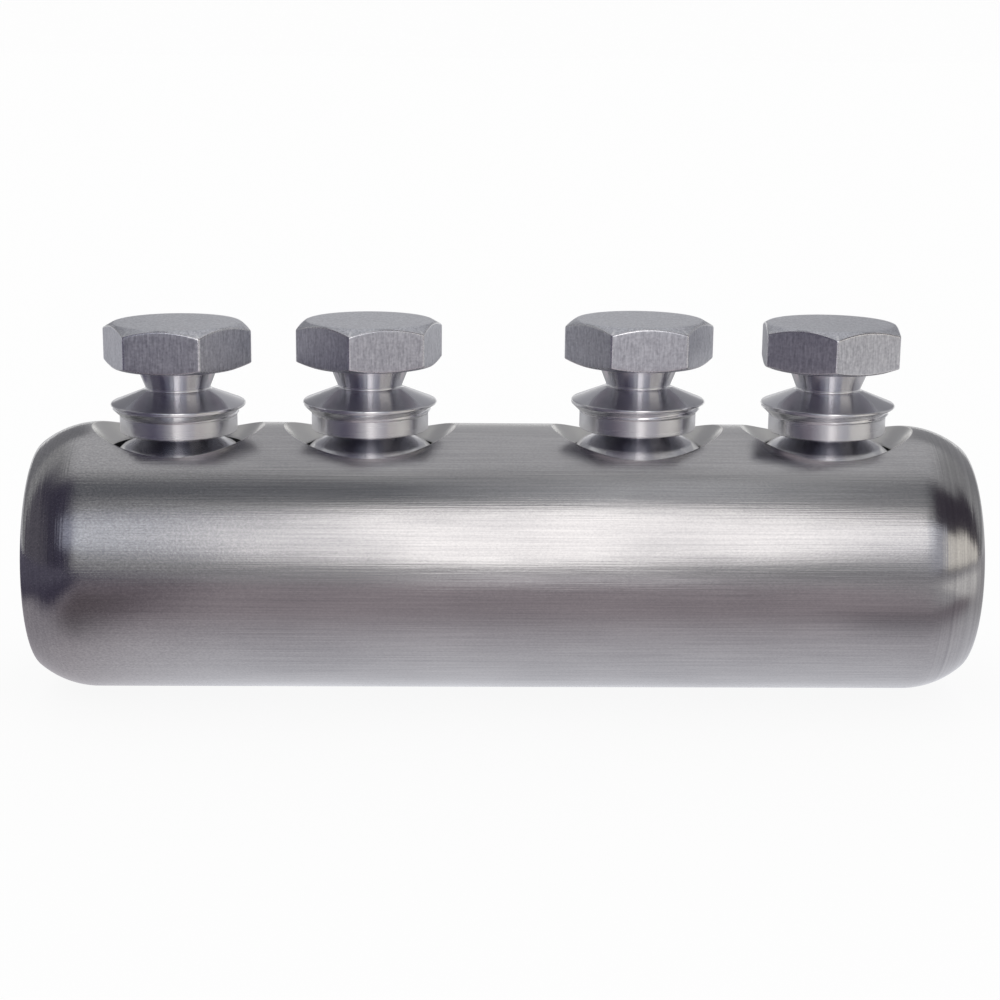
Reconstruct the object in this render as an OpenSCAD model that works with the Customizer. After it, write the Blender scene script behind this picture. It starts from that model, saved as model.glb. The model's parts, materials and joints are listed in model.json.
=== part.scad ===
// Screw connector for power cables: a round sleeve with a blind conductor bore in each end
// and four shear bolts that clamp the conductors from above.
// X runs along the bores, +Z points up the bolts, and Z = 0 is the underside of the sleeve.

/* [Sleeve] */
// Length of the sleeve
sleeve_len = 115; // [108:1:150]
// Outside diameter of the sleeve
sleeve_d = 33; // [31:0.5:40]
// Diameter of each conductor bore
bore_d = 20; // [15:0.5:21]
// Thickness of the solid web between the two bores
web_t = 8; // [4:0.5:12]
// Chamfer round the mouth of each bore
mouth_chamfer = 1; // [0.4:0.1:1.5]

/* [Sleeve ends] */
// Length over which each end is drawn in
end_len = 7.6; // [5:0.1:8.2]
// Radius of the long curve that draws the end in
end_r = 11; // [9.5:0.5:16]
// Radius of the edge between that curve and the end face
edge_r = 2; // [1:0.25:3]

/* [Bolt holes] */
// Distance between the two bolts nearest the middle
inner_pitch = 33; // [26:0.5:36]
// Distance between the two bolts over one bore
bolt_pitch = 23.5; // [22:0.5:25]
// Diameter of the countersink at the crest of the sleeve
sink_d = 21.1; // [18.5:0.1:21.8]
// Full angle of the countersink
sink_angle = 80; // [60:1:100]
// Clearance on the radius between a bolt's thread and its hole
thread_gap = 0.05; // [0.02:0.01:0.1]

/* [Bolt heads] */
// Width across the flats of the hexagon
head_af = 16; // [14:0.5:17]
// Height of the head
head_h = 5.4; // [4:0.1:7]
// Diameter of the flat round top of the head
head_top_d = 15.4; // [12:0.1:15.8]
// Slope of the chamfer round the head's top
head_top_angle = 30; // [15:1:40]
// Diameter of the flat round underside of the head
head_foot_d = 15.3; // [12:0.1:15.8]
// Slope of the chamfer round the head's underside
head_foot_angle = 21; // [10:1:35]

/* [Bolt shanks] */
// Outside diameter of the bolt's thread
thread_d = 16.4; // [15:0.1:17]
// Diameter of the plain band below the threaded rim
band_d = 14.3; // [12:0.1:14.9]
// Diameter of the neck where it leaves the head
neck_d = 9.9; // [8:0.1:11]
// Diameter of the upper shear groove
upper_groove_d = 7.7; // [6:0.1:8]
// Diameter of the lower shear groove
lower_groove_d = 8.4; // [6.5:0.1:10]
// Diameter of the shoulder above the shank's thread
shoulder_d = 13.6; // [11:0.1:14.8]
// Chamfer at the bolt's tip
tip_chamfer = 0.6; // [0.3:0.1:1]

/* [Bolt levels] */
// How far the upper end of the shank's thread lies below the crest of the sleeve
thread_drop = 2.8; // [2:0.1:3.2]
// Gap between the bolt's tip and the ceiling of the bore
tip_gap = 0.8; // [0.6:0.1:1.2]
// Height of the chamfer from the shank's thread up to the shoulder
shank_chamfer_h = 0.7; // [0.4:0.1:1]
// Height of the cone from the shoulder up to the lower shear groove
lower_cone_h = 1.2; // [0.6:0.1:2]
// Height from the lower shear groove up to the plain band
lower_neck_h = 0.55; // [0.3:0.05:1]
// Height of the plain band
band_h = 2.1; // [1:0.1:3]
// Height of the undercut from the band out to the rim
undercut_h = 1; // [0.3:0.1:1.5]
// Height of the threaded rim
rim_h = 0.4; // [0.2:0.1:1.5]
// Height of the cone from the rim up to the upper shear groove
upper_cone_h = 1.75; // [1:0.05:3]
// Height of the neck from the upper shear groove up to the head
neck_h = 2.75; // [1.5:0.05:4]

/* [As supplied] */
// Turn of each head: angle of one corner from the front, left to right
bolt_turn = [24, -13, -26, -5]; // [-30:1:30]
// How much higher than nominal each bolt stands, left to right
bolt_lift = [-0.4, 0, 0.3, 0]; // [-0.5:0.1:1]

/* [Hidden] */
$fn = 96;

// A small overrun, so that cutters pass right through what they cut
over = 1;

sleeve_r = sleeve_d / 2;
bore_r = bore_d / 2;
axis_z = sleeve_r;
crest_z = sleeve_d;
bore_ceiling_z = axis_z + bore_r;

// Places of the bolts along the sleeve, the same distance to the left and to the right
bolt_x = [-inner_pitch / 2 - bolt_pitch, -inner_pitch / 2, inner_pitch / 2, inner_pitch / 2 + bolt_pitch];

thread_r = thread_d / 2;
hole_r = thread_r + thread_gap;
sink_r = sink_d / 2;
sink_slope = tan(sink_angle / 2);

// Levels of the bolt's turned steps, each stacked on the one below
tip_z = bore_ceiling_z + tip_gap;
thread_top_z = crest_z - thread_drop;
shoulder_z = thread_top_z + shank_chamfer_h;
lower_groove_z = shoulder_z + lower_cone_h;
band_z = lower_groove_z + lower_neck_h;
undercut_z = band_z + band_h;
rim_z = undercut_z + undercut_h;
rim_top_z = rim_z + rim_h;
upper_groove_z = rim_top_z + upper_cone_h;
head_z = upper_groove_z + neck_h;

// Centres of the two arcs of a drawn-in end, which meet on the line through both
long_arc = [sleeve_r - end_r, sleeve_len / 2 - end_len];
edge_arc = [
    long_arc.x + sqrt(pow(end_r - edge_r, 2) - pow(end_len - edge_r, 2)),
    sleeve_len / 2 - edge_r
];

// Half of the sleeve's section: radius to the right, distance from the middle upwards.
// A straight wall, a long arc tangent to it, and an edge arc tangent to the arc and the end face.
module half_section() {
    reach = 2 * end_r;
    arc_end = asin((end_len - edge_r) / (end_r - edge_r));
    square([sleeve_r, long_arc.y]);
    square([edge_arc.x, sleeve_len / 2]);
    intersection() {
        translate(long_arc) circle(end_r);
        translate(long_arc)
            polygon([[0, 0], [reach, 0], [reach, reach * tan(arc_end)]]);
    }
    translate(edge_arc) circle(edge_r);
}

// One conductor bore with its chamfered mouth, opening upwards from the middle of the sleeve
module bore_cutter() {
    mouth_z = sleeve_len / 2;
    translate([0, 0, web_t / 2])
        cylinder(r = bore_r, h = mouth_z - web_t / 2 + over);
    translate([0, 0, mouth_z - mouth_chamfer])
        cylinder(
            r1 = bore_r,
            r2 = bore_r + mouth_chamfer + over,
            h = mouth_chamfer + over
        );
}

// A bolt hole down into the bore, with its countersink
module hole_cutter() {
    sink_depth = (sink_r - hole_r) / sink_slope;
    translate([0, 0, axis_z]) cylinder(r = hole_r, h = sleeve_r + over);
    translate([0, 0, crest_z - sink_depth])
        cylinder(
            r1 = hole_r,
            r2 = sink_r + over * sink_slope,
            h = sink_depth + over
        );
}

module sleeve() {
    color("silver")
    difference() {
        translate([0, 0, axis_z]) rotate([0, 90, 0])
            difference() {
                for (side = [0, 1])
                    mirror([0, 0, side]) rotate_extrude() half_section();
                for (side = [0, 1])
                    mirror([0, 0, side]) bore_cutter();
            }
        for (x = bolt_x)
            translate([x, 0, 0]) hole_cutter();
    }
}

// The turned steps of a bolt, from its tip to the underside of its head
module bolt_shank() {
    rotate_extrude()
        polygon([
            [0, tip_z],
            [thread_r - tip_chamfer, tip_z],
            [thread_r, tip_z + tip_chamfer],
            [thread_r, thread_top_z],
            [shoulder_d / 2, shoulder_z],
            [lower_groove_d / 2, lower_groove_z],
            [band_d / 2, band_z],
            [band_d / 2, undercut_z],
            [thread_r, rim_z],
            [thread_r, rim_top_z],
            [upper_groove_d / 2, upper_groove_z],
            [neck_d / 2, head_z],
            [0, head_z]
        ]);
}

// A hexagon cut by a cone above and a flatter cone below, which leaves arched edges on its flats
module bolt_head() {
    corner_r = head_af / 2 / cos(30);
    cut_r = corner_r + over;
    top_r = head_top_d / 2;
    foot_r = head_foot_d / 2;
    intersection() {
        cylinder(r = corner_r, h = head_h, $fn = 6);
        rotate_extrude()
            polygon([
                [0, 0],
                [foot_r, 0],
                [cut_r, (cut_r - foot_r) * tan(head_foot_angle)],
                [cut_r, head_h - (cut_r - top_r) * tan(head_top_angle)],
                [top_r, head_h],
                [0, head_h]
            ]);
    }
}

module shear_bolt(place) {
    color("lightslategray")
    translate([bolt_x[place], 0, bolt_lift[place]]) {
        bolt_shank();
        translate([0, 0, head_z]) rotate([0, 0, bolt_turn[place] - 90]) bolt_head();
    }
}

sleeve();
shear_bolt(0);  // shear_bolt_1
shear_bolt(1);  // shear_bolt_2
shear_bolt(2);  // shear_bolt_3
shear_bolt(3);  // shear_bolt_4
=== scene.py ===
import json
import bmesh
import bpy
import numpy as np
from mathutils import Matrix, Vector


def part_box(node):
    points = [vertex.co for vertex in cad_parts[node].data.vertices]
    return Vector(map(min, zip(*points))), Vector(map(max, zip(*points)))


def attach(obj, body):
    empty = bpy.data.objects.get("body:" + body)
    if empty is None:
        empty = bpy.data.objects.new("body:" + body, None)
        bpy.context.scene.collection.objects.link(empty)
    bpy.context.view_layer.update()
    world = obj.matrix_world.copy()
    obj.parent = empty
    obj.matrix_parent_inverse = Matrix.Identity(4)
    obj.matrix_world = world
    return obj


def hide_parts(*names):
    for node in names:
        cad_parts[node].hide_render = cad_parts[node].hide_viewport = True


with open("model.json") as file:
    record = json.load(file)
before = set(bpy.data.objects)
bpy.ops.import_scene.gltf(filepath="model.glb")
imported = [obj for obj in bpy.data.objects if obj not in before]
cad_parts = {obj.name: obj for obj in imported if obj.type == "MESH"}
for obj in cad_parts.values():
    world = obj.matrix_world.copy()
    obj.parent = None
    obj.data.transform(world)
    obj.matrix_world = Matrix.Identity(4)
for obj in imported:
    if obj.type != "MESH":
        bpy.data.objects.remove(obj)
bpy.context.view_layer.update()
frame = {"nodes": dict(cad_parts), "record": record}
print("frame loaded:", ", ".join(sorted(frame["nodes"])))

mm = 0.001  # sizes below are in millimetres, the scene is in metres
weldGap = 0.002 * mm  # points nearer than this are one point
noiseLow, noiseHigh = 0.3, 0.7  # most values of a noise pattern lie between these

boltNodes = sorted(name for name in frame["nodes"] if name.startswith("shear_bolt"))
boreMount = next(m for m in frame["record"]["mounts"] if m["name"] == "right_conductor_bore")


# Colours and material nodes

def linearColour(hexColour):
    # sRGB to linear: a straight foot, then a power of 2.4
    srgb = np.array([int(hexColour[i:i + 2], 16) for i in (1, 3, 5)]) / 255
    linear = np.where(srgb <= 0.04045, srgb / 12.92, ((srgb + 0.055) / 1.055) ** 2.4)
    return (*linear.tolist(), 1.0)


def addNode(tree, kind, settings={}, links={}):
    # a key that is a socket's name or number sets that socket, any other sets the node itself;
    # a link comes from a socket, or from a node's first output
    node = tree.nodes.new(kind)
    for key, value in settings.items():
        if isinstance(key, int) or key in node.inputs:
            node.inputs[key].default_value = value
        else:
            setattr(node, key, value)
    for key, source in links.items():
        tree.links.new(source.outputs[0] if hasattr(source, "outputs") else source, node.inputs[key])
    return node


def newMaterial(name):
    material = bpy.data.materials.new(name)
    material.use_nodes = True
    material.node_tree.nodes.clear()
    return material, material.node_tree


def perSize(sizes):
    # scale of a pattern whose grains measure sizes = (x, y, z) in mm
    return tuple(1 / (size * mm) for size in sizes)


# Surfaces

def patchFaces(rows, columns):
    # quads between neighbouring rows and columns of one grid
    index = np.arange(rows * columns).reshape(rows, columns)
    corners = (index[:-1, :-1], index[1:, :-1], index[1:, 1:], index[:-1, 1:])
    return np.stack(corners, -1).reshape(-1, 4)


def pieceFromPatches(name, patches, materials):
    # patches = (points[rows, columns, 3] in mm, material number of each row of faces, marks on each
    # point); seams and poles lie double and are welded, then all faces are turned outwards
    points, faces, numbers, spans, marks, count = [], [], [], [], [], 0
    for grid, rowMaterials, gridMarks in patches:
        rows, columns = grid.shape[:2]
        points.append(grid.reshape(-1, 3) * mm)
        faces.append(patchFaces(rows, columns) + count)
        numbers.append(np.repeat(np.broadcast_to(rowMaterials, rows - 1), columns - 1))
        marks.append(np.broadcast_to(gridMarks, (rows, columns)).ravel())
        along, around = np.meshgrid(np.linspace(0, 1, rows), np.linspace(0, 1, columns), indexing="ij")
        spans.append(np.stack([along, around], -1).reshape(-1, 2))
        count += rows * columns
    faces = np.concatenate(faces)
    mesh = bpy.data.meshes.new(name)
    mesh.from_pydata(np.concatenate(points), [], faces)
    mesh.polygons.foreach_set("material_index", np.concatenate(numbers).astype(np.int32))
    layer = mesh.uv_layers.new(name="along_around")
    layer.data.foreach_set("uv", np.concatenate(spans)[faces.ravel()].astype(np.float32).ravel())
    marked = mesh.attributes.new("marks", "FLOAT", "POINT")
    marked.data.foreach_set("value", np.concatenate(marks).astype(np.float32))
    shell = bmesh.new()
    shell.from_mesh(mesh)
    bmesh.ops.remove_doubles(shell, verts=shell.verts, dist=weldGap)
    bmesh.ops.recalc_face_normals(shell, faces=shell.faces)
    shell.to_mesh(mesh)
    shell.free()
    mesh.shade_smooth()
    piece = bpy.data.objects.new(name, mesh)
    bpy.context.scene.collection.objects.link(piece)
    for material in materials:
        mesh.materials.append(material)
    openEdges = len(mesh.edges) * 2 - len(mesh.loops)
    print(f"{name}: {len(mesh.polygons)} faces, {openEdges} open edges")
    return piece


def bend(before, corner, after, steps):
    # a corner rounded by a parabola: from one point, towards the corner, to the next point
    t = np.linspace(0, 1, steps).reshape(-1, *[1] * np.ndim(corner))
    return (1 - t) ** 2 * before + 2 * t * (1 - t) * corner + t ** 2 * after


def roundedProfile(corners, radii, steps, longest):
    # a polyline whose inner corners are rounded over radii, cut so that no step is longer than longest
    corners = np.asarray(corners, float)
    parts = [corners[:1]]
    for i in range(1, len(corners) - 1):
        back = corners[i - 1] - corners[i]
        ahead = corners[i + 1] - corners[i]
        before = corners[i] + back / np.linalg.norm(back) * radii[i - 1]
        after = corners[i] + ahead / np.linalg.norm(ahead) * radii[i - 1]
        parts.append(bend(before, corners[i], after, steps))
    line = np.concatenate(parts + [corners[-1:]])
    cuts = np.maximum(np.ceil(np.linalg.norm(np.diff(line, axis=0), axis=1) / longest), 1).astype(int)
    spans = [np.linspace(a, b, n + 1)[:-1] for a, b, n in zip(line[:-1], line[1:], cuts)]
    return np.concatenate(spans + [line[-1:]])


# Sleeve: a tube with drawn-in ends, two blind bores and four countersunk holes

sleeveLow, sleeveHigh = (np.array(corner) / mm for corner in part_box("sleeve"))
sleeveForm = {
    "endLength": 7.6,       # length over which an end is drawn in
    "endRadius": 11.0,      # long curve of the end
    "edgeRadius": 2.0,      # edge between that curve and the end face
    "mouthChamfer": 1.0,    # chamfer round a bore's mouth
    "webThickness": 8.0,    # solid middle between the bores
    "sinkDiameter": 21.1,   # countersink at the crest
    "sinkAngle": 80.0,      # full angle of the countersink
    "holeDiameter": 16.5,   # threaded hole below the countersink
    "edgeBreak": 0.13,      # how far a cut edge is broken
    "boreBreak": 0.1,       # the same where a hole opens into the bore
    "mouthBreak": 0.15,     # and at the chamfer of a mouth
    "webRadius": 0.3,       # corner at the blind end of a bore
    "mesh": {
        "cellHalfWidth": 11.75,  # half of the stretch of wall that is meshed round one hole
        "cellHalfAngle": 1.02,   # the same round the tube, in radians
        "cellStepsAlong": 34,
        "cellStepsRound": 50,
        "restStepsRound": 98,
        "middleSteps": 18,
        "wallRows": 20,          # from a cell's border to the countersink's lip
        "wallEase": 1.6,         # how much closer these rows lie at the lip
        "lipRounds": 60,         # more than enough for the lip to settle
        "lipRows": 7,
        "coneRows": (0, 0.03, 0.2, 0.4, 0.6, 0.8, 0.97, 1),  # shares of the way down the countersink
        "footRows": 5,
        "holeRows": 9,
        "boreBendRows": 5,
        "boreRows": 14,
        "boreEase": 1.4,         # how much closer these rows lie at the hole
        "longArcRows": 14,
        "edgeArcRows": 12,
        "mouthSteps": (5, 0.7),  # rows in a rounded corner, and the longest step in mm
        "webSteps": (6, 0.9),
    },
}


def sleevePatches(form):
    steps = form["mesh"]
    length = sleeveHigh[0] - sleeveLow[0]
    outerR = (sleeveHigh[2] - sleeveLow[2]) / 2
    axisZ = (sleeveHigh[2] + sleeveLow[2]) / 2
    boreR = boreMount["dims"]["r_mm"]
    straight = length / 2 - form["endLength"]
    longR, edgeR = form["endRadius"], form["edgeRadius"]
    halfX, halfAngle = steps["cellHalfWidth"], steps["cellHalfAngle"]
    sinkR, holeR = form["sinkDiameter"] / 2, form["holeDiameter"] / 2
    sinkSlope = np.tan(np.radians(form["sinkAngle"] / 2))
    webX = form["webThickness"] / 2
    boltX = [np.mean([corner[0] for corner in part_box(node)]) / mm for node in boltNodes]

    def wallRadius(x):
        # straight wall, then the long arc that draws the end in
        past = np.clip(np.abs(x) - straight, 0, longR)
        return outerR - longR + np.sqrt(longR ** 2 - past ** 2)

    def onTube(x, angle, radius):
        # angle 0 is the crest; the tube's axis runs along X
        x, angle, radius = np.broadcast_arrays(x, angle, radius)
        return np.stack([x, radius * np.sin(angle), axisZ + radius * np.cos(angle)], -1)

    roundSteps, alongSteps = steps["cellStepsRound"], steps["cellStepsAlong"]
    topAngles = np.linspace(-halfAngle, halfAngle, roundSteps + 1)
    restAngles = np.linspace(halfAngle, 2 * np.pi - halfAngle, steps["restStepsRound"] + 1)
    allAngles = np.concatenate([topAngles, restAngles[1:]])
    cellSpan = np.linspace(-halfX, halfX, alongSteps + 1)

    def boltCell(centreX):
        # around = angle round the hole, along = from the cell's border on the outer wall over the
        # countersink's lip, down its cone and the hole, and out over the bore's wall to the same border
        across = np.concatenate([cellSpan[:-1] / halfX, np.ones(roundSteps),
                                 -cellSpan[:-1] / halfX, -np.ones(roundSteps + 1)])
        about = np.concatenate([-np.ones(alongSteps), topAngles[:-1] / halfAngle,
                                np.ones(alongSteps), -topAngles / halfAngle])
        turn = np.arctan2(about, across)
        borderX, borderAngle = centreX + across * halfX, about * halfAngle
        cos, sin = np.cos(turn), np.sin(turn)

        def inPlan(radius, z):
            radius, z = np.broadcast_arrays(radius, z)
            return np.stack([centreX + radius * cos, radius * sin, np.broadcast_to(z, turn.shape)], -1)

        lip = np.full_like(turn, sinkR)
        for _ in range(steps["lipRounds"]):  # the lip is where the cone meets the wall
            drop = outerR - np.sqrt(wallRadius(centreX + lip * cos) ** 2 - (lip * sin) ** 2)
            lip = sinkR - drop * sinkSlope

        def onWall(radius):
            x, y = centreX + radius * cos, radius * sin
            return x, np.arcsin(y / wallRadius(x))

        def onCone(radius):
            return inPlan(radius, axisZ + outerR - (sinkR - radius) / sinkSlope)

        cut = form["edgeBreak"]
        lipX, lipAngle = onWall(lip + cut)
        ease = 1 - (1 - np.linspace(0, 1, steps["wallRows"])[:, None]) ** steps["wallEase"]
        wallX = borderX + (lipX - borderX) * ease
        wallAngle = borderAngle + (lipAngle - borderAngle) * ease
        wall = onTube(wallX, wallAngle, wallRadius(wallX))
        lipBend = bend(wall[-1], onCone(lip), onCone(lip - cut), steps["lipRows"])
        footZ = axisZ + outerR - (sinkR - holeR) / sinkSlope
        coneRows = np.stack([onCone(lip - cut + (holeR + cut - lip + cut) * t)
                             for t in steps["coneRows"]])
        footBend = bend(coneRows[-1], inPlan(holeR, footZ), inPlan(holeR, footZ - cut), steps["footRows"])
        boreBreak = form["boreBreak"]
        ceilingZ = axisZ + np.sqrt(boreR ** 2 - (holeR * sin) ** 2)
        holeRows = np.stack([inPlan(holeR, footZ - cut + (ceilingZ + boreBreak - footZ + cut) * t)
                             for t in np.linspace(0, 1, steps["holeRows"])])
        boreX, boreY = centreX + (holeR + boreBreak) * cos, (holeR + boreBreak) * sin
        boreAngle = np.arcsin(boreY / boreR)
        boreBend = bend(holeRows[-1], inPlan(holeR, ceilingZ), onTube(boreX, boreAngle, boreR),
                        steps["boreBendRows"])
        spread = np.linspace(0, 1, steps["boreRows"])[:, None] ** steps["boreEase"]
        bore = onTube(boreX + (borderX - boreX) * spread,
                      boreAngle + (borderAngle - boreAngle) * spread, boreR)
        grid = np.concatenate([wall, lipBend[1:], coneRows[1:], footBend[1:], holeRows[1:],
                               boreBend[1:], bore[1:]])
        # finishes: drawn wall, turned cone from within the lip's bend, and painted shade on the tapped
        # hole from below the foot's
        cutRows = np.zeros(len(grid) - 1, int)
        cutEnd = -len(bore) - 3
        cutRows[len(wall) + 1:cutEnd] = 1
        cutRows[len(wall) + len(lipBend) + len(coneRows) + len(footBend) - 4:cutEnd] = 2
        return grid, cutRows, 0.0

    patches = [boltCell(x) for x in boltX]

    # plain wall: the strip between the inner holes, and the lower side of the tube
    inner = boltX[2] - halfX
    outer = boltX[3] + halfX
    middle = np.linspace(-inner, inner, steps["middleSteps"] + 1)
    rightStations = np.concatenate([boltX[2] + cellSpan, boltX[3] + cellSpan[1:]])
    stations = np.concatenate([-rightStations[::-1], middle[1:-1], rightStations])
    patches.append((onTube(middle[:, None], topAngles, outerR), 0, 0.0))
    patches.append((onTube(stations[:, None], restAngles, wallRadius(stations[:, None])), 0, 0.0))

    # drawn-in end: long arc, edge arc, end face, chamfer and the mouth of the bore
    edgeX = length / 2 - edgeR
    edgeY = outerR - longR + np.sqrt((longR - edgeR) ** 2 - (form["endLength"] - edgeR) ** 2)
    start = np.arcsin((outer - straight) / longR)
    meet = np.arcsin((form["endLength"] - edgeR) / (longR - edgeR))
    longArc = np.linspace(start, meet, steps["longArcRows"])
    edgeArc = np.linspace(meet, np.pi / 2, steps["edgeArcRows"])
    chamfer, mouthBreak = form["mouthChamfer"], form["mouthBreak"]
    mouth = roundedProfile([(length / 2, edgeY), (length / 2, boreR + chamfer),
                            (length / 2 - chamfer, boreR), (outer, boreR)],
                           [mouthBreak, mouthBreak], *steps["mouthSteps"])
    endProfile = np.concatenate([
        np.stack([straight + longR * np.sin(longArc), outerR - longR + longR * np.cos(longArc)], -1),
        np.stack([edgeX + edgeR * np.sin(edgeArc), edgeY + edgeR * np.cos(edgeArc)], -1)[1:],
        mouth[1:]])
    webProfile = roundedProfile([(inner, boreR), (webX, boreR), (webX, 0)],
                                [form["webRadius"]], *steps["webSteps"])
    for side in (-1, 1):
        for profile in (endProfile, webProfile):
            patches.append((onTube(side * profile[:, :1], allAngles, profile[:, 1:]), 0, 0.0))
        patches.append((onTube(side * rightStations[:, None], restAngles, boreR), 0, 0.0))
    return patches


def tinnedAluminiumDrawn():
    # Tinned aluminium, drawn as tube and turned at the ends. Tin leaves a soft, slightly mottled satin,
    # drawing leaves fine lines along the tube, turning leaves rings round the ends.
    finish = {
        "colour": ("#CBCACA", "#A9A8AA"),
        "roughness": (0.13, 0.21),
        "line": (16.0, 0.11, 0.11),    # length and width of a drawn line; real ones are finer
        "lineDepth": 0.0105,
        "mottle": (0.3, 0.2, 0.2),     # grain of the tin; real grain is finer
        "mottleDepth": 0.012,
        "mottleShare": (0.66, 0.25),   # at the thickly tinned left end, and over the rest
        "mottleFade": (-54.0, -26.0),  # stretch of the sleeve over which that share falls
        "cloud": (18.0, 8.0, 8.0),     # patches of duller tin
        "cloudShare": 0.4,
        "toneSpan": (0.34, 0.66),      # values of the patterns that take the first and the last colour
        "ring": (0.26, 40.0, 40.0),    # turning rings, coarser than the real ones
        "ringDepth": 0.026,
        "turned": (50.8, 52.3),        # distance from the middle where turning starts, and is full
    }
    material, tree = newMaterial("tinned_aluminium_drawn")
    place = addNode(tree, "ShaderNodeTexCoord").outputs["Object"]
    pattern = {}
    for name in ("line", "mottle", "cloud", "ring"):
        scaled = addNode(tree, "ShaderNodeMapping", {"Scale": perSize(finish[name])}, {"Vector": place})
        pattern[name] = addNode(tree, "ShaderNodeTexNoise", {"Scale": 1.0, "Detail": 2.0},
                                {"Vector": scaled})
    axes = addNode(tree, "ShaderNodeSeparateXYZ", {}, {0: place})
    fromMiddle = addNode(tree, "ShaderNodeMath", {"operation": "ABSOLUTE"}, {0: axes})
    turned = addNode(tree, "ShaderNodeMapRange",
                     {"From Min": finish["turned"][0] * mm, "From Max": finish["turned"][1] * mm},
                     {"Value": fromMiddle})
    drawn = addNode(tree, "ShaderNodeMath", {"operation": "SUBTRACT", 0: 1.0}, {1: turned})
    thick = addNode(tree, "ShaderNodeMapRange",
                    {"From Min": finish["mottleFade"][0] * mm, "From Max": finish["mottleFade"][1] * mm,
                     "To Min": finish["mottleShare"][0], "To Max": finish["mottleShare"][1]},
                    {"Value": axes})
    lineBump = addNode(tree, "ShaderNodeBump", {"Distance": finish["lineDepth"] * mm},
                       {"Height": pattern["line"], "Strength": drawn})
    mottleBump = addNode(tree, "ShaderNodeBump", {"Distance": finish["mottleDepth"] * mm},
                         {"Height": pattern["mottle"], "Strength": thick, "Normal": lineBump})
    ringBump = addNode(tree, "ShaderNodeBump", {"Distance": finish["ringDepth"] * mm},
                       {"Height": pattern["ring"], "Strength": turned, "Normal": mottleBump})
    marks = addNode(tree, "ShaderNodeMix", {"data_type": "FLOAT"},
                    {0: turned, 2: pattern["line"], 3: pattern["ring"]})
    clouded = addNode(tree, "ShaderNodeMix", {"data_type": "FLOAT", 0: finish["cloudShare"]},
                      {2: marks, 3: pattern["cloud"]})
    spotted = addNode(tree, "ShaderNodeMix", {"data_type": "FLOAT"},
                      {0: thick, 2: clouded, 3: pattern["mottle"]})
    shade = addNode(tree, "ShaderNodeMapRange",
                    {"From Min": finish["toneSpan"][0], "From Max": finish["toneSpan"][1]},
                    {"Value": spotted})
    fresh, dull = (linearColour(colour) for colour in finish["colour"])
    tint = addNode(tree, "ShaderNodeMix", {"data_type": "RGBA", 6: fresh, 7: dull}, {0: shade})
    satin = addNode(tree, "ShaderNodeMapRange",
                    {"From Min": noiseLow, "From Max": noiseHigh,
                     "To Min": finish["roughness"][0], "To Max": finish["roughness"][1]},
                    {"Value": pattern["cloud"]})
    shader = addNode(tree, "ShaderNodeBsdfPrincipled", {"Metallic": 1.0},
                     {"Base Color": tint.outputs[2], "Roughness": satin, "Normal": ringBump})
    addNode(tree, "ShaderNodeOutputMaterial", {}, {"Surface": shader})
    return material


countersinkFinish = {
    "colour": "#F5F4F1",
    "roughness": (0.26, 0.34),
    "ring": (12.0, 12.0, 0.14),  # height of a turning ring, coarser than the real ones
    "levelColour": "#F5F4F1",
    "slopeRoughness": 0.3,
    "levelRoughness": 0.3,
    "anisotropy": 0.5,
}
tappedShadeFinish = {
    "colour": "#4A4A4C",         # painted shade: a dark colour that stands in for the shadow in the thread's grooves
    "roughness": (0.5, 0.6),
    "ring": (12.0, 12.0, 0.5),
    "levelColour": "#4A4A4C",
    "slopeRoughness": 0.55,
    "levelRoughness": 0.55,
    "anisotropy": 0.0,
}
turning = {
    "sloped": (0.15, 0.3),  # upward share of a face's direction from which it counts as sloped
    "level": (0.8, 0.9),    # and as level
    "ringDepth": 0.008,
    "ringStrength": 0.5,
}


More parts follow.
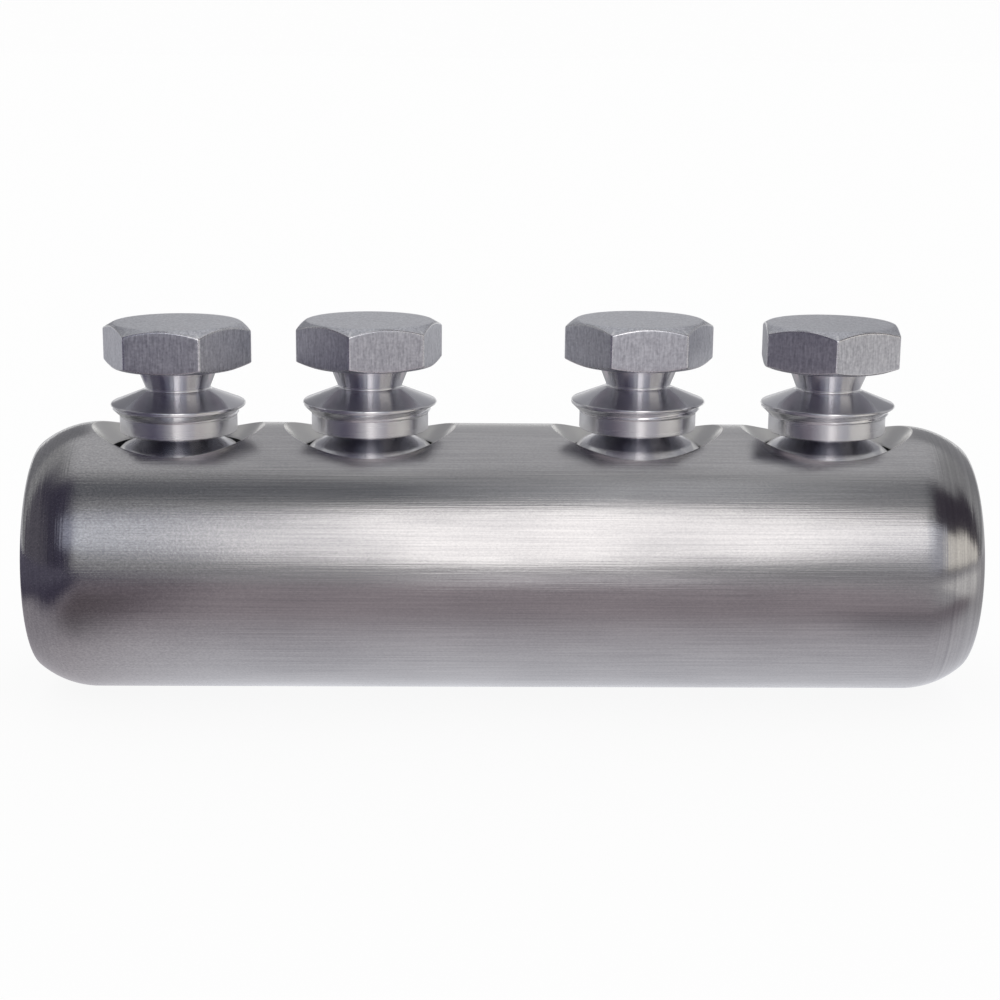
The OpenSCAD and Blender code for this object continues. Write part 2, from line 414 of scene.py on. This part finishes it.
def aluminiumTurned(name, finish):
    # Aluminium turned on a lathe: bright, with fine rings that draw a light out into a long streak
    material, tree = newMaterial(name)
    place = addNode(tree, "ShaderNodeTexCoord").outputs["Object"]
    scaled = addNode(tree, "ShaderNodeMapping", {"Scale": perSize(finish["ring"])}, {"Vector": place})
    rings = addNode(tree, "ShaderNodeTexNoise", {"Scale": 1.0, "Detail": 2.0}, {"Vector": scaled})
    normal = addNode(tree, "ShaderNodeNewGeometry").outputs["Normal"]
    facing = addNode(tree, "ShaderNodeSeparateXYZ", {}, {0: normal})
    lift = addNode(tree, "ShaderNodeMath", {"operation": "ABSOLUTE"}, {0: facing.outputs[2]})
    sloped, level = (addNode(tree, "ShaderNodeMapRange", {"From Min": low, "From Max": high},
                             {"Value": lift}) for low, high in (turning["sloped"], turning["level"]))
    ringBump = addNode(tree, "ShaderNodeBump",
                       {"Strength": turning["ringStrength"], "Distance": turning["ringDepth"] * mm},
                       {"Height": rings})
    upright, flat = (linearColour(finish[key]) for key in ("colour", "levelColour"))
    colour = addNode(tree, "ShaderNodeMix", {"data_type": "RGBA", 6: upright, 7: flat}, {0: level})
    sheen = addNode(tree, "ShaderNodeMapRange",
                    {"From Min": noiseLow, "From Max": noiseHigh,
                     "To Min": finish["roughness"][0], "To Max": finish["roughness"][1]},
                    {"Value": rings})
    slopeRoughness = addNode(tree, "ShaderNodeMix", {"data_type": "FLOAT", 3: finish["slopeRoughness"]},
                             {0: sloped, 2: sheen})
    roughness = addNode(tree, "ShaderNodeMix", {"data_type": "FLOAT", 3: finish["levelRoughness"]},
                        {0: level, 2: slopeRoughness})
    along = addNode(tree, "ShaderNodeTangent", {"direction_type": "UV_MAP", "uv_map": "along_around"})
    shader = addNode(tree, "ShaderNodeBsdfPrincipled",
                     {"Metallic": 1.0, "Anisotropic": finish["anisotropy"]},
                     {"Base Color": colour.outputs[2], "Roughness": roughness,
                      "Normal": ringBump, "Tangent": along})
    addNode(tree, "ShaderNodeOutputMaterial", {}, {"Surface": shader})
    return material


sleeve = pieceFromPatches("drawn_sleeve", sleevePatches(sleeveForm),
                          [tinnedAluminiumDrawn(),
                           aluminiumTurned("aluminium_countersunk", countersinkFinish),
                           # the tapped hole's material is painted dark as shade
                           aluminiumTurned("aluminium_tapped", tappedShadeFinish)])
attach(sleeve, "sleeve")
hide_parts("sleeve")
print("sleeve done")


# Shear bolts: a chamfered hexagon on a turned, twice-waisted shank

boltForm = {
    "headAcrossFlats": 16.0,
    "headHeight": 5.4,
    "topDiameter": 15.4,
    "topSlope": 30.0,
    "footDiameter": 15.3,
    "footSlope": 21.0,
    "cornerRadius": 0.35,       # broken edge between two flats
    "edgeBreak": 0.18,          # and round the top, the underside and the arched edges
    "threadDiameter": 16.4,
    "coreDiameter": 14.4,       # at the root of the thread
    "threadPitch": 2.0,
    "threadRoot": 0.12,         # share of the half pitch that is flat at the root,
    "threadFlank": 0.72,        # and that the flank takes
    "rimFade": (0.15, 0.4),     # how far below the rim's top the thread starts, and how soon it is full
    "threadPast": (0.05, 0.6),  # how far it runs below the undercut and above the shank
    "bandDiameter": 14.3,
    "neckDiameter": 9.9,
    "upperGrooveDiameter": 7.7,
    "lowerGrooveDiameter": 8.4,
    "shoulderDiameter": 13.6,
    "tipChamfer": 0.6,
    "levels": {                 # heights above the tip
        "threadTop": 2.5,
        "shoulder": 3.6,
        "lowerGroove": 4.8,
        "bandFoot": 5.35,
        "bandTop": 7.45,
        "rim": 8.45,
        "rimTop": 8.85,
        "upperGroove": 10.6,
        "head": 13.35,
    },
    # corners rounded from the head's underside down to the tip
    "roundings": (0.3, 0.35, 0.14, 0.1, 0.15, 0.14, 0.25, 0.2, 0.1, 0.15, 0.15),
    "cornerTurn": (24, -13, -26, -5),    # angle of one corner from the front, left to right
    "threadTurn": (200, 170, 120, 150),  # where the thread starts on each bolt
    "mesh": {
        "stepsPerFlat": 26,
        "cornerSteps": 7,
        "discRows": 9,
        "edgeRows": 4,            # round the rims of the top and the underside
        "bendRows": 5,            # over the arched edges of the flats
        "sideRows": 7,
        "shankSteps": (6, 0.16),  # rows in a rounded corner, and the longest step in mm
    },
}


def boltPatches(form, number):
    steps = form["mesh"]
    low, high = (np.array(corner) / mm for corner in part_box(boltNodes[number]))
    centreX = (low[0] + high[0]) / 2
    tipZ = low[2]
    level = form["levels"]
    flat, corner = form["headAcrossFlats"] / 2, form["cornerRadius"]
    headZ, topZ = level["head"], level["head"] + form["headHeight"]
    topR, footR = form["topDiameter"] / 2, form["footDiameter"] / 2
    cut = form["edgeBreak"]

    # hexagon with rounded corners: a straight flat from arc to arc, then a sixth of a circle
    reach = (flat - corner) / np.cos(np.pi / 6)
    arc = np.linspace(-np.pi / 6, np.pi / 6, steps["cornerSteps"])
    half = (flat - corner) * np.tan(np.pi / 6)
    along = np.linspace(-half, half, steps["stepsPerFlat"] + 1)[1:-1]
    cornerPoints = np.stack([reach + corner * np.cos(arc), corner * np.sin(arc)], -1)
    flatPoints = np.stack([np.full_like(along, flat), along], -1)
    turnFlat = np.pi / 6
    flatPoints = flatPoints @ np.array([[np.cos(turnFlat), np.sin(turnFlat)],
                                        [-np.sin(turnFlat), np.cos(turnFlat)]])
    sixth = np.concatenate([cornerPoints, flatPoints])
    hexR = np.tile(np.hypot(sixth[:, 0], sixth[:, 1]), 6)
    turns = np.arctan2(sixth[:, 1], sixth[:, 0])
    hexTurn = np.concatenate([turns + k * np.pi / 3 for k in range(6)])
    hexR = np.append(hexR, hexR[0])
    hexTurn = np.append(hexTurn, hexTurn[0] + 2 * np.pi)
    # corner angle is counted from the front (-Y) towards +X
    facing = hexTurn + np.radians(form["cornerTurn"][number]) - np.pi / 2

    def ring(radius, z):
        radius, z = np.broadcast_arrays(radius, z)
        full = np.broadcast_to(radius, hexR.shape)
        return np.stack([full, np.broadcast_to(z, hexR.shape)], -1)

    topSlope, footSlope = np.tan(np.radians(form["topSlope"])), np.tan(np.radians(form["footSlope"]))
    shoulderTop = topZ - (hexR - topR) * topSlope
    shoulderFoot = headZ + (hexR - footR) * footSlope
    edgeRows, bendRows = steps["edgeRows"], steps["bendRows"]
    disc = np.stack([ring(r, topZ) for r in np.linspace(0, topR - cut, steps["discRows"])])
    topEdge = bend(disc[-1], ring(topR, topZ), ring(topR + cut, topZ - cut * topSlope), edgeRows)
    topBend = bend(ring(hexR - cut, shoulderTop + cut * topSlope), ring(hexR, shoulderTop),
                   ring(hexR, shoulderTop - cut), bendRows)
    side = np.stack([ring(hexR, shoulderTop - cut + (shoulderFoot + 2 * cut - shoulderTop) * t)
                     for t in np.linspace(0, 1, steps["sideRows"])])
    footBend = bend(side[-1], ring(hexR, shoulderFoot),
                    ring(hexR - cut, shoulderFoot - cut * footSlope), bendRows)
    footEdge = bend(ring(footR + cut / 2, headZ + cut / 2 * footSlope), ring(footR, headZ),
                    ring(footR - cut, headZ), edgeRows)
    head = np.concatenate([disc, topEdge[1:], topBend, side[1:], footBend[1:], footEdge])

    threadR, tip = form["threadDiameter"] / 2, form["tipChamfer"]
    shank = roundedProfile([
        (footR - cut, headZ),
        (form["neckDiameter"] / 2, headZ),
        (form["upperGrooveDiameter"] / 2, level["upperGroove"]),
        (threadR, level["rimTop"]),
        (threadR, level["rim"]),
        (form["bandDiameter"] / 2, level["bandTop"]),
        (form["bandDiameter"] / 2, level["bandFoot"]),
        (form["lowerGrooveDiameter"] / 2, level["lowerGroove"]),
        (form["shoulderDiameter"] / 2, level["shoulder"]),
        (threadR, level["threadTop"]),
        (threadR, tip),
        (threadR - tip, 0),
        (0, 0)], form["roundings"], *steps["shankSteps"])
    shank = shank[:, None, :] * np.ones((1, len(hexR), 1))

    # thread: a helix of rounded V grooves, cut only where the turned profile stands proud of it
    height = shank[..., 1]
    turned = facing - np.radians(form["threadTurn"][number])
    rise = height - form["threadPitch"] * turned / (2 * np.pi)
    phase = rise / form["threadPitch"]
    tooth = np.abs((phase - np.floor(phase)) * 2 - 1)
    tooth = np.clip((tooth - form["threadRoot"]) / form["threadFlank"], 0, 1)
    core = form["coreDiameter"] / 2
    threadCut = core + (threadR - core) * tooth
    rimStart, rimFull = form["rimFade"]
    fade = np.clip((level["rimTop"] - rimStart - height) / rimFull, 0, 1)
    threadCut = threadR + (threadCut - threadR) * fade
    pastRim, pastShank = form["threadPast"]
    upper = height > level["bandTop"] - pastRim
    lower = height < level["threadTop"] + pastShank
    cutHere = (upper | lower) & (shank[..., 0] > core)
    threaded = np.minimum(shank[..., 0], np.maximum(threadCut, core))
    shank[..., 0] = np.where(cutHere, threaded, shank[..., 0])

    rows = np.concatenate([head, shank[1:]])
    points = np.stack([centreX + rows[..., 0] * np.cos(facing), rows[..., 0] * np.sin(facing),
                       tipZ + rows[..., 1]], -1)
    turnedRows = np.zeros(len(rows) - 1, int)
    turnedRows[len(head):] = 1

    # rubbed marks on the corners between flats and on the arched edges above and below them
    sixthRub = np.zeros(len(sixth))
    sixthRub[1:len(arc) - 1] = 1
    cornerRub = np.append(np.tile(sixthRub, 6), sixthRub[0])
    marks = np.zeros(rows.shape[:2])
    sideFrom = len(disc) + len(topEdge) - 1
    sideTo = sideFrom + len(topBend) + len(side) + len(footBend) - 2
    marks[sideFrom:sideTo] = cornerRub
    marks[sideFrom + 1:sideFrom + len(topBend) - 1] = 1
    marks[sideTo - len(footBend) + 1:sideTo - 1] = 1
    return [(points, turnedRows, marks)]


def aluminiumHexBar():
    # Aluminium hexagon bar as drawn: matt flats with a fine upright grain and a few scuffs,
    # and edges that handling has rubbed bright
    finish = {
        "colour": ("#BCBDC4", "#EAEBF0"),
        "edgeColour": "#F4F4F6",
        "roughness": (0.36, 0.46),
        "edgeRoughness": 0.24,
        "grain": (0.22, 0.22, 1.5),     # width and length of a grain line; real ones are finer
        "grainDepth": 0.012,
        "grainStrength": 0.7,
        "scuff": (0.35, 0.35, 0.35),
        "scuffDepth": 0.016,
        "scuffStrength": 0.5,
        "toneSpan": (0.7, 1.3),         # sums of both patterns that take the first and the last colour
        "rubSpan": (0.35, 0.6),         # values of the scuffs at which the edges are
        "rubShare": (0.5, 1.0),         # half and fully rubbed
    }
    material, tree = newMaterial("aluminium_hexagon_bar")
    place = addNode(tree, "ShaderNodeTexCoord").outputs["Object"]
    pattern = {}
    for name in ("grain", "scuff"):
        scaled = addNode(tree, "ShaderNodeMapping", {"Scale": perSize(finish[name])}, {"Vector": place})
        pattern[name] = addNode(tree, "ShaderNodeTexNoise", {"Scale": 1.0, "Detail": 3.0},
                                {"Vector": scaled})
    grainBump = addNode(tree, "ShaderNodeBump",
                        {"Strength": finish["grainStrength"], "Distance": finish["grainDepth"] * mm},
                        {"Height": pattern["grain"]})
    scuffBump = addNode(tree, "ShaderNodeBump",
                        {"Strength": finish["scuffStrength"], "Distance": finish["scuffDepth"] * mm},
                        {"Height": pattern["scuff"], "Normal": grainBump})
    marks = addNode(tree, "ShaderNodeAttribute", {"attribute_name": "marks"}).outputs["Fac"]
    patchy = addNode(tree, "ShaderNodeMapRange",
                     {"From Min": finish["rubSpan"][0], "From Max": finish["rubSpan"][1],
                      "To Min": finish["rubShare"][0], "To Max": finish["rubShare"][1]},
                     {"Value": pattern["scuff"]})
    rubbed = addNode(tree, "ShaderNodeMath", {"operation": "MULTIPLY"}, {0: marks, 1: patchy})
    both = addNode(tree, "ShaderNodeMath", {"operation": "ADD"},
                   {0: pattern["grain"], 1: pattern["scuff"]})
    shade = addNode(tree, "ShaderNodeMapRange",
                    {"From Min": finish["toneSpan"][0], "From Max": finish["toneSpan"][1]},
                    {"Value": both})
    dark, light = (linearColour(colour) for colour in finish["colour"])
    flat = addNode(tree, "ShaderNodeMix", {"data_type": "RGBA", 6: dark, 7: light}, {0: shade})
    colour = addNode(tree, "ShaderNodeMix", {"data_type": "RGBA", 7: linearColour(finish["edgeColour"])},
                     {0: rubbed, 6: flat.outputs[2]})
    matt = addNode(tree, "ShaderNodeMapRange",
                   {"From Min": noiseLow, "From Max": noiseHigh,
                    "To Min": finish["roughness"][0], "To Max": finish["roughness"][1]},
                   {"Value": pattern["scuff"]})
    roughness = addNode(tree, "ShaderNodeMix", {"data_type": "FLOAT", 3: finish["edgeRoughness"]},
                        {0: rubbed, 2: matt})
    shader = addNode(tree, "ShaderNodeBsdfPrincipled", {"Metallic": 1.0},
                     {"Base Color": colour.outputs[2], "Roughness": roughness, "Normal": scuffBump})
    addNode(tree, "ShaderNodeOutputMaterial", {}, {"Surface": shader})
    return material


shankFinish = {
    "colour": "#F3F3F5",
    "roughness": (0.27, 0.33),
    "ring": (12.0, 12.0, 0.14),  # height of a turning ring, coarser than the real ones
    "levelColour": "#CCCCD2",    # a darker colour on faces that lie almost level
    "slopeRoughness": 0.16,      # on sloped faces, which the tool leaves smoother
    "levelRoughness": 0.24,
    "anisotropy": 1.0,
}
hexBar, turnedShank = aluminiumHexBar(), aluminiumTurned("aluminium_turned", shankFinish)
for number, node in enumerate(boltNodes):
    bolt = pieceFromPatches(f"turned_bolt_{number + 1}", boltPatches(boltForm, number),
                            [hexBar, turnedShank])
    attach(bolt, f"bolt_{number + 1}")
    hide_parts(node)
print("bolts done")


# Studio: a white floor, a tent of lit and unlit cloth, and a sheet on the floor painted with light and
# shade, both seen only by the metal

studio = {  # lengths in metres
    "floorHalf": 6.5,
    "sweepRadius": 0.25,
    "sweepSteps": 24,
    "backdropHeight": 0.625,
    "floorColour": "#F2F2F2",
    "floorGlow": 0.9,        # share of the floor's look that is plain white
    "tentRadius": 8.0,
    "tentSteps": (160, 160),
    "skyColour": "#FFFFFF",
}


def whiteToTheEye(tree):
    # 1 for rays from the camera and for mirrored or refracted ones, so metal shows the same white
    paths = addNode(tree, "ShaderNodeLightPath").outputs
    seen = addNode(tree, "ShaderNodeMath", {"operation": "MAXIMUM"},
                   {0: paths["Is Camera Ray"], 1: paths["Is Glossy Ray"]})
    return addNode(tree, "ShaderNodeMath", {"operation": "MAXIMUM"},
                   {0: seen, 1: paths["Is Transmission Ray"]})


def stageGrid(name, points, material):
    mesh = bpy.data.meshes.new(name)
    mesh.from_pydata(points.reshape(-1, 3), [], patchFaces(*points.shape[:2]))
    mesh.shade_smooth()
    mesh.materials.append(material)
    obj = bpy.data.objects.new(name, mesh)
    bpy.context.scene.collection.objects.link(obj)
    return obj


def buildFloor(settings):
    # a floor that sweeps up into a backdrop: a straight profile, a quarter circle, a short upright
    half, radius = settings["floorHalf"], settings["sweepRadius"]
    bendTurn = np.linspace(0, np.pi / 2, settings["sweepSteps"])
    profile = np.concatenate([
        [(-half, 0.0)],
        np.stack([half - radius + radius * np.sin(bendTurn), radius - radius * np.cos(bendTurn)], -1),
        [(half, settings["backdropHeight"])]])
    across = np.array([-half, half])
    points = np.stack(np.broadcast_arrays(across, profile[:, :1], profile[:, 1:]), -1)
    material, tree = newMaterial("white_paper_sweep")
    paper = addNode(tree, "ShaderNodeBsdfDiffuse", {"Color": linearColour(settings["floorColour"])})
    glow = addNode(tree, "ShaderNodeEmission", {"Strength": 1.0})
    share = addNode(tree, "ShaderNodeMath", {"operation": "MULTIPLY", 1: settings["floorGlow"]},
                    {0: whiteToTheEye(tree)})
    mixed = addNode(tree, "ShaderNodeMixShader", {}, {0: share, 1: paper, 2: glow})
    addNode(tree, "ShaderNodeOutputMaterial", {}, {"Surface": mixed})
    return stageGrid("floor", points, material)


def softEdge(inside, soft):
    # 0 to 1 in an even S over soft, half way where inside is 0
    edge = np.clip(inside / soft + 0.5, 0, 1)
    return edge * edge * (3 - 2 * edge)


def softWindow(value, low, high, soft):
    # 1 between low and high, falling smoothly to 0 over soft on both sides
    return softEdge(np.minimum(value - low, high - value), soft)


def softPillow(side, over, panel):
    # 1 inside an oval with full corners, falling smoothly to 0 across its rim
    across = np.abs(side - panel["centre"][0]) / panel["reach"][0]
    middle = panel["centre"][1] + panel["lean"] * (side - panel["centre"][0])
    along = np.abs(over - middle) / panel["reach"][1]
    power = np.where(side < panel["centre"][0], *panel["fullness"])
    away = (across ** power + along ** power) ** (1 / power)
    return softEdge(1 - away, panel["soft"])


def clothGlow(name, points, glow):
    # cloth that shines by its own colour at each point, seen by the metal and not by the camera
    material, tree = newMaterial(name)
    colour = addNode(tree, "ShaderNodeAttribute", {"attribute_name": "glow"})
    cloth = addNode(tree, "ShaderNodeEmission", {"Strength": 1.0}, {"Color": colour.outputs["Color"]})
    addNode(tree, "ShaderNodeOutputMaterial", {}, {"Surface": cloth})
    material.cycles.emission_sampling = "NONE"
    obj = stageGrid(name, points, material)
    flat = np.concatenate([glow.reshape(-1, 3), np.ones((glow[..., 0].size, 1))], 1)
    painting = obj.data.attributes.new("glow", "FLOAT_COLOR", "POINT")
    painting.data.foreach_set("color", flat.astype(np.float32).ravel())
    obj.visible_camera = obj.visible_diffuse = obj.visible_shadow = False
    return obj


# Panels of the tent, painted one over the other. Side runs from -90 at the left to 90 at the right,
# over runs from 0 at the front over the top to 180 at the back, both in degrees.
tentPanels = {
    "base": "#A6A6A7",
    "cloths": [
        # side from, to, over from, to, soft, colour
        (-24, 28, 88, 146, 16, "#CACACC"),      # lit ceiling
        (-100, 100, 145, 200, 16, "#C0C0C2"),   # wall behind
        (-100, 100, 166, 200, 10, "#C9C9C9"),
        (-100, -12, 138, 174, 8, "#86868A"),    # dull beside its lit middle
        (12, 100, 138, 174, 8, "#98989B"),
        (-30, 4, 60, 80, 9, "#6E7075"),         # gap between the key and the ceiling
        (1.5, 10, 59, 82, 7, "#D2D3D6"),
        (12, 30, 60, 82, 9, "#76787C"),
        (-100, -20, -20, 86, 18, "#444052"),    # unlit left side
        (-100, -36, -20, 112, 30, "#474453"),
        (-100, -54, -20, 112, 16, "#66636C"),
        (21, 100, -20, 83, 10, "#46414A"),      # unlit right side
        (48, 100, -20, 104, 12, "#46414A"),
        (34, 84, 3, 37, 8, "#FFFAF0"),          # low window on the right
        (54, 84, 6, 47, 8, "#FFFAF0"),
        (15, 36, 3, 42, 9, "#C0C1CA"),          # glow at both sides of the key
        (13, 22.5, 19, 43, 8, "#F6F8FF"),
        (-34, -8, 19, 47, 12, "#A5A7B7"),
        (-17, -6, 17, 46, 12, "#F4F8FF"),
        (-9.4, -6.4, 8, 52, 2, "#868A9A"),      # fold in the cloth beside the key
    ],
    "key": {                      # soft light over the camera
        "centre": (4.1, 30.9),
        "reach": (10.8, 26.5),
        "lean": 0.28,             # how far it rises to the right
        "fullness": (2.6, 1.75),  # squareness of its left and right half
        "soft": 0.11,
        "colour": "#FFFCFB",
        "strength": 1.7,
    },
}


def painted(base, covers):
    # each cover is a share from 0 to 1 and the colour that it lays over what is there
    glow = np.zeros(covers[0][0].shape + (3,)) + linearColour(base)[:3]
    for cover, colour in covers:
        glow += (np.array(colour[:3]) - glow) * cover[..., None]
    return glow


def clothCovers(across, along, cloths):
    # a cloth covers where its window across and its window along overlap
    return [(softWindow(across, left, right, soft) * softWindow(along, low, high, soft),
             linearColour(colour)) for left, right, low, high, soft, colour in cloths]


def buildTent(settings, panels):
    # a dome of side by over; its glow is painted panel by panel
    acrossSteps, overSteps = settings["tentSteps"]
    side, over = np.meshgrid(np.linspace(-90, 90, acrossSteps + 1), np.linspace(0, 180, overSteps + 1))
    key = panels["key"]
    covers = clothCovers(side, over, panels["cloths"])
    covers.append((softPillow(side, over, key), np.array(linearColour(key["colour"])) * key["strength"]))
    turn, lift = np.radians(side), np.radians(over)
    points = np.stack([np.sin(turn), -np.cos(turn) * np.cos(lift), np.cos(turn) * np.sin(lift)], -1)
    return clothGlow("light_tent", points * settings["tentRadius"], painted(panels["base"], covers))


# Sheet that lies on the paper round the sleeve, seen only by the metal: it glows with the floor's light
# and shade painted into it, in mm: x from, to, y from, to, soft, colour
floorReflectionPaint = {
    "lift": 0.3,
    "reach": (6000, 5900, 5500),  # left and right, to the front, to the back
    "near": 150,                  # how far the close steps go
    "nearStep": 3.0,
    "farFrom": 170,
    "farSteps": 14,
    "base": "#B0AEB1",
    "cloths": [
        (-9000, -97, -9000, 90, 20, "#494556"),
        (-9000, -62, -180, 90, 34, "#494556"),     # dark floor on the left
        (-9000, -105, -9000, 90, 50, "#625F6E"),
        (-10, 48, -9000, -86, 32, "#F0ECEF"),      # lit floor in front
        (-66, 64, -112, 200, 30, "#A89FA4"),       # painted shade close to the sleeve
        (-68, -44, -130, -27, 14, "#7F767D"),
        (-64, -50, -60, -20, 10, "#6B6368"),
        (-90, -62, -24, 60, 20, "#A5A0A6"),
        (55, 9000, -9000, -200, 40, "#8F8D92"),
        (44, 120, -38, -22, 12, "#81797F"),
        (95, 260, -108, -20, 24, "#E2E0DE"),       # pale card on the right
        (-9000, 10, 90, 9000, 60, "#CCCCCF"),      # floor behind
        (10, 9000, 90, 9000, 60, "#D2D2D4"),
        (-105, 110, 70, 300, 60, "#98989B"),
        (-52, 70, -16, 26, 44, "#F7F9FF"),         # paper shows under the sleeve
    ],
}


def buildPaintedFloorReflection(table):
    # a flat glowing sheet with painted light and shade, with close steps near the sleeve and wide ones
    # far off
    near = np.arange(-table["near"], table["near"] + 1, table["nearStep"])
    wide, front, back = (np.geomspace(table["farFrom"], reach, table["farSteps"])
                         for reach in table["reach"])
    x, y = np.meshgrid(np.concatenate([-wide[::-1], near, wide]),
                       np.concatenate([-front[::-1], near, back]))
    points = np.stack([x, y, np.full_like(x, table["lift"])], -1) * mm
    return clothGlow("table_cloth", points, painted(table["base"], clothCovers(x, y, table["cloths"])))


buildFloor(studio)
buildTent(studio, tentPanels)
buildPaintedFloorReflection(floorReflectionPaint)

world = bpy.data.worlds.new("white_room")
world.use_nodes = True
world.node_tree.nodes.clear()
sky = addNode(world.node_tree, "ShaderNodeBackground",
              {"Color": linearColour(studio["skyColour"]), "Strength": 1.0})
addNode(world.node_tree, "ShaderNodeOutputWorld", {}, {"Surface": sky})
bpy.context.scene.world = world
bpy.context.scene.view_settings.view_transform = "Standard"
print("studio done")


# Camera: a little above the sleeve and almost square to it

cameraPlace = {
    "place": (-5.95, -242.7, 80.47),  # mm
    "pitchDown": 13.193,
    "yaw": -1.317,
    "roll": -0.591,
    "focalPixels": 2000.0,
    "imagePixels": 1000.0,
    "sensor": 36.0,
    "clip": (0.01, 50.0),             # metres
}


def buildCamera(settings):
    data = bpy.data.cameras.new("photo_camera")
    data.sensor_width = settings["sensor"]
    data.lens = settings["sensor"] * settings["focalPixels"] / settings["imagePixels"]
    data.clip_start, data.clip_end = settings["clip"]
    camera = bpy.data.objects.new("photo_camera", data)
    bpy.context.scene.collection.objects.link(camera)
    level = (Matrix.Rotation(np.radians(settings["yaw"]), 3, "Z")
             @ Matrix.Rotation(np.radians(-settings["pitchDown"]), 3, "X")
             @ Matrix.Rotation(np.radians(settings["roll"]), 3, "Y"))
    right, ahead, up = level.col
    axes = Matrix((right, up, -ahead)).transposed().to_4x4()
    camera.matrix_world = Matrix.Translation([value * mm for value in settings["place"]]) @ axes
    bpy.context.scene.camera = camera
    return camera


buildCamera(cameraPlace)
print("camera done")
